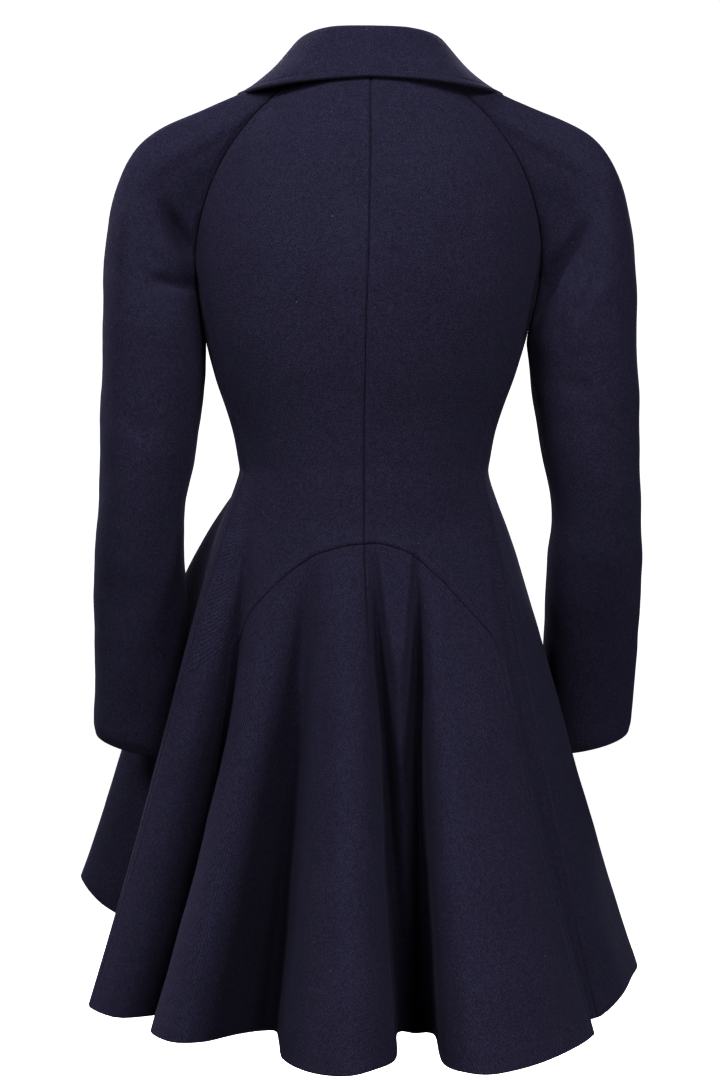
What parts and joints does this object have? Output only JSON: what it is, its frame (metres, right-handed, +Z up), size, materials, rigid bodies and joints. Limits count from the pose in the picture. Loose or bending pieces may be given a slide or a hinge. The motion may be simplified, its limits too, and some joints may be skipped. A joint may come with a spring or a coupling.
{
  "type": "flared coat",
  "caption": "Fitted wool coat with raglan sleeves, a turn-down collar, an arched back seam and a full skirt of rounded flutes, filled out as worn.",
  "frame": {"origin": "where the wearer holds it: at the nape, in the middle of the neck opening", "axes": "+Z up, +Y out of the back of the coat, +X to the wearer's left"},
  "size_m": [0.553, 0.505, 0.9521],
  "materials": {
    "wool": "brushed melton wool",
    "button": "satin"
  },
  "bodies": {
    "root": {"back_left": "wool", "back_right": "wool", "back_skirt_left": "wool", "back_skirt_right": "wool", "front_left": "wool", "front_right": "wool", "sleeve_left": "wool", "sleeve_right": "wool", "collar": "wool", "button_1": "button", "button_2": "button", "button_3": "button", "button_4": "button", "button_5": "button"}
  },
  "joints": []
}
